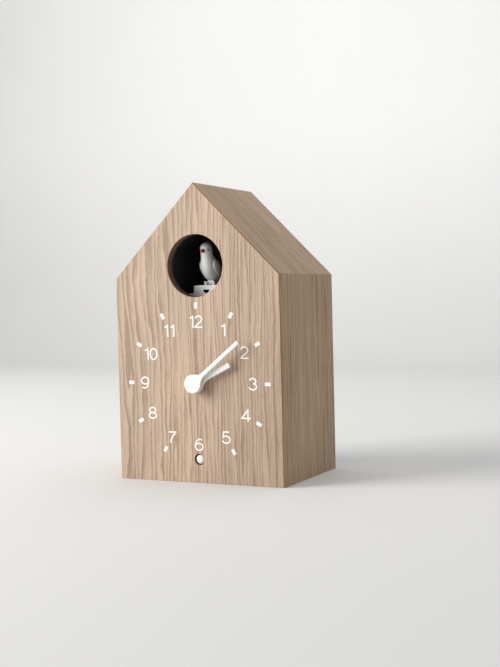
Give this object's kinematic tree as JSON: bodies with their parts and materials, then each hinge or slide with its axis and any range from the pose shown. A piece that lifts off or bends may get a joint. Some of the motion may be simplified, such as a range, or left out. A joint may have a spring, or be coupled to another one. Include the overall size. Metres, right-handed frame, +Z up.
{
  "type": "cuckoo clock",
  "caption": "House-shaped wooden wall cuckoo clock: gabled box, round bird window with a small bowing bird, two dial hands, light-sensor eye, back cover with battery bay and keyhole hanger.",
  "frame": {"origin": "middle of the case's underside", "axes": "+X to the right seen from the front, +Y into the wall, +Z up"},
  "size_m": [0.14, 0.1053, 0.225],
  "materials": {
    "ash_veneer": "clear matt lacquer on pale straight-grained veneer",
    "pine": "bare planed",
    "black_plastic": "fine moulded texture",
    "white_hands": "satin white paint",
    "white_plastic": "satin moulded",
    "sensor_dome": "milky diffusing dome",
    "red_plastic": "gloss paint",
    "steel": "zinc plated",
    "brass": "turned",
    "copper_coil": "enamelled winding",
    "nylon": "natural moulded",
    "grey_plastic": "satin moulded",
    "circuit_laminate": "solder resist on glass laminate",
    "bellows_cloth": "thin airtight cloth"
  },
  "bodies": {
    "case": {"front_panel": "ash_veneer", "base_panel": "ash_veneer", "right_side_panel": "ash_veneer", "right_roof_panel": "ash_veneer", "left_roof_panel": "ash_veneer", "left_side_panel": "ash_veneer", "left_glue_block": "pine", "right_glue_block": "pine", "ridge_block": "pine", "back_cover": "black_plastic", "hanger_plate": "steel", "battery_tray": "black_plastic", "battery_spring_contact": "steel", "battery_plate_contact": "steel", "circuit_board": "circuit_laminate", "sensor_lens": "sensor_dome", "left_cover_screw": "steel", "right_cover_screw": "steel", "top_cover_screw": "steel", "movement_case_front": "black_plastic", "movement_case_back": "black_plastic", "shaft_washer": "brass", "shaft_nut": "brass", "stepper_coil": "copper_coil", "bird_chamber": "black_plastic", "bird_deck": "white_plastic", "bird_pivot_pin": "steel", "strike_frame": "black_plastic", "strike_motor": "steel", "left_whistle": "pine", "right_whistle": "pine", "left_bellows_base": "pine", "right_bellows_base": "pine", "left_bellows_cloth": "bellows_cloth", "right_bellows_cloth": "bellows_cloth"},
    "minute_train": {"minute_arbor": "nylon", "minute_hand": "white_hands"},
    "hour_train": {"hour_wheel": "nylon", "hour_hand": "white_hands"},
    "motion_wheel": {"minute_wheel": "nylon"},
    "third_train": {"third_wheel": "nylon"},
    "rotor": {"stepper_rotor": "grey_plastic"},
    "setting": {"setting_shaft": "nylon", "setting_knob": "grey_plastic"},
    "cam": {"cam_wheel": "nylon"},
    "idler": {"idler_gear": "nylon"},
    "strike_pinion": {"motor_pinion": "brass"},
    "left_lid": {"left_bellows_lid": "pine"},
    "right_lid": {"right_bellows_lid": "pine"},
    "left_lever": {"left_lift_lever": "nylon"},
    "right_lever": {"right_lift_lever": "nylon"},
    "wire": {"bird_wire": "steel"},
    "bird": {"bird_rocker": "white_plastic", "bird_body": "white_plastic", "bird_beak": "red_plastic"},
    "door": {"battery_door": "black_plastic"},
    "switch": {"sound_switch": "grey_plastic"},
    "button": {"test_button": "grey_plastic"}
  },
  "joints": [
    {"name": "minute_turn", "type": "hinge", "parent": "case", "child": "minute_train", "pos_m": [0, 0, 0.075], "axis": [0, 1, 0], "continuous": true},
    {"name": "hour_turn", "type": "hinge", "parent": "case", "child": "hour_train", "pos_m": [0, 0, 0.075], "axis": [0, 1, 0], "continuous": true},
    {"name": "motion_wheel_turn", "type": "hinge", "parent": "case", "child": "motion_wheel", "pos_m": [0.01, 0, 0.075], "axis": [0, 1, 0], "continuous": true},
    {"name": "third_turn", "type": "hinge", "parent": "case", "child": "third_train", "pos_m": [-0.0099, 0, 0.0651], "axis": [0, 1, 0], "continuous": true},
    {"name": "rotor_turn", "type": "hinge", "parent": "case", "child": "rotor", "pos_m": [-0.0214, 0, 0.0651], "axis": [0, 1, 0], "continuous": true},
    {"name": "setting_turn", "type": "hinge", "parent": "case", "child": "setting", "pos_m": [0.02, 0, 0.075], "axis": [0, 1, 0], "continuous": true},
    {"name": "cam_turn", "type": "hinge", "parent": "case", "child": "cam", "pos_m": [0, 0, 0.102], "axis": [0, 1, 0], "continuous": true},
    {"name": "idler_turn", "type": "hinge", "parent": "case", "child": "idler", "pos_m": [0.018, 0, 0.102], "axis": [0, 1, 0], "continuous": true},
    {"name": "motor_turn", "type": "hinge", "parent": "case", "child": "strike_pinion", "pos_m": [0.0255, 0, 0.11499], "axis": [0, 1, 0], "continuous": true},
    {"name": "left_bellows", "type": "hinge", "parent": "case", "child": "left_lid", "pos_m": [-0.049, 0.03, 0.0865], "axis": [-1, 0, 0], "range_deg": [0, 16], "deforming": ["left_bellows_cloth"]},
    {"name": "right_bellows", "type": "hinge", "parent": "case", "child": "right_lid", "pos_m": [0.049, 0.03, 0.0865], "axis": [-1, 0, 0], "range_deg": [0, 16], "deforming": ["right_bellows_cloth"]},
    {"name": "left_lift", "type": "hinge", "parent": "case", "child": "left_lever", "pos_m": [-0.012, -0.013, 0.084], "axis": [0, 1, 0], "range_deg": [0, 31]},
    {"name": "right_lift", "type": "hinge", "parent": "case", "child": "right_lever", "pos_m": [0.012, -0.013, 0.084], "axis": [0, -1, 0], "range_deg": [0, 31]},
    {"name": "wire_lift", "type": "slide", "parent": "case", "child": "wire", "axis": [0, 0, 1], "range_m": [0, 0.0027]},
    {"name": "bird_bow", "type": "hinge", "parent": "case", "child": "bird", "pos_m": [0, -0.023, 0.1503], "axis": [1, 0, 0], "range_deg": [0, 16]},
    {"name": "door_off", "type": "slide", "parent": "case", "child": "door", "axis": [0, 1, 0], "range_m": [0, 0.03]},
    {"name": "switch_slide", "type": "slide", "parent": "case", "child": "switch", "axis": [1, 0, 0], "range_m": [-0.003, 0.003]},
    {"name": "button_press", "type": "slide", "parent": "case", "child": "button", "axis": [0, -1, 0], "range_m": [0, 0.0015], "stiffness_N_per_m": 300}
  ],
  "couplings": [
    {"joint": "hour_turn", "follows": "minute_turn", "ratio": 0.083333},
    {"joint": "motion_wheel_turn", "follows": "minute_turn", "ratio": -0.33333},
    {"joint": "third_turn", "follows": "minute_turn", "ratio": -6},
    {"joint": "rotor_turn", "follows": "minute_turn", "ratio": 28.5},
    {"joint": "setting_turn", "follows": "minute_turn", "ratio": 1},
    {"joint": "idler_turn", "follows": "cam_turn", "ratio": -5},
    {"joint": "motor_turn", "follows": "cam_turn", "ratio": 20},
    {"joint": "left_lift", "follows": "left_bellows", "ratio": 1.9375},
    {"joint": "right_lift", "follows": "right_bellows", "ratio": 1.9375},
    {"joint": "bird_bow", "follows": "right_bellows", "ratio": 1},
    {"joint": "wire_lift", "follows": "right_bellows", "m_per_rad": 0.0096687}
  ]
}
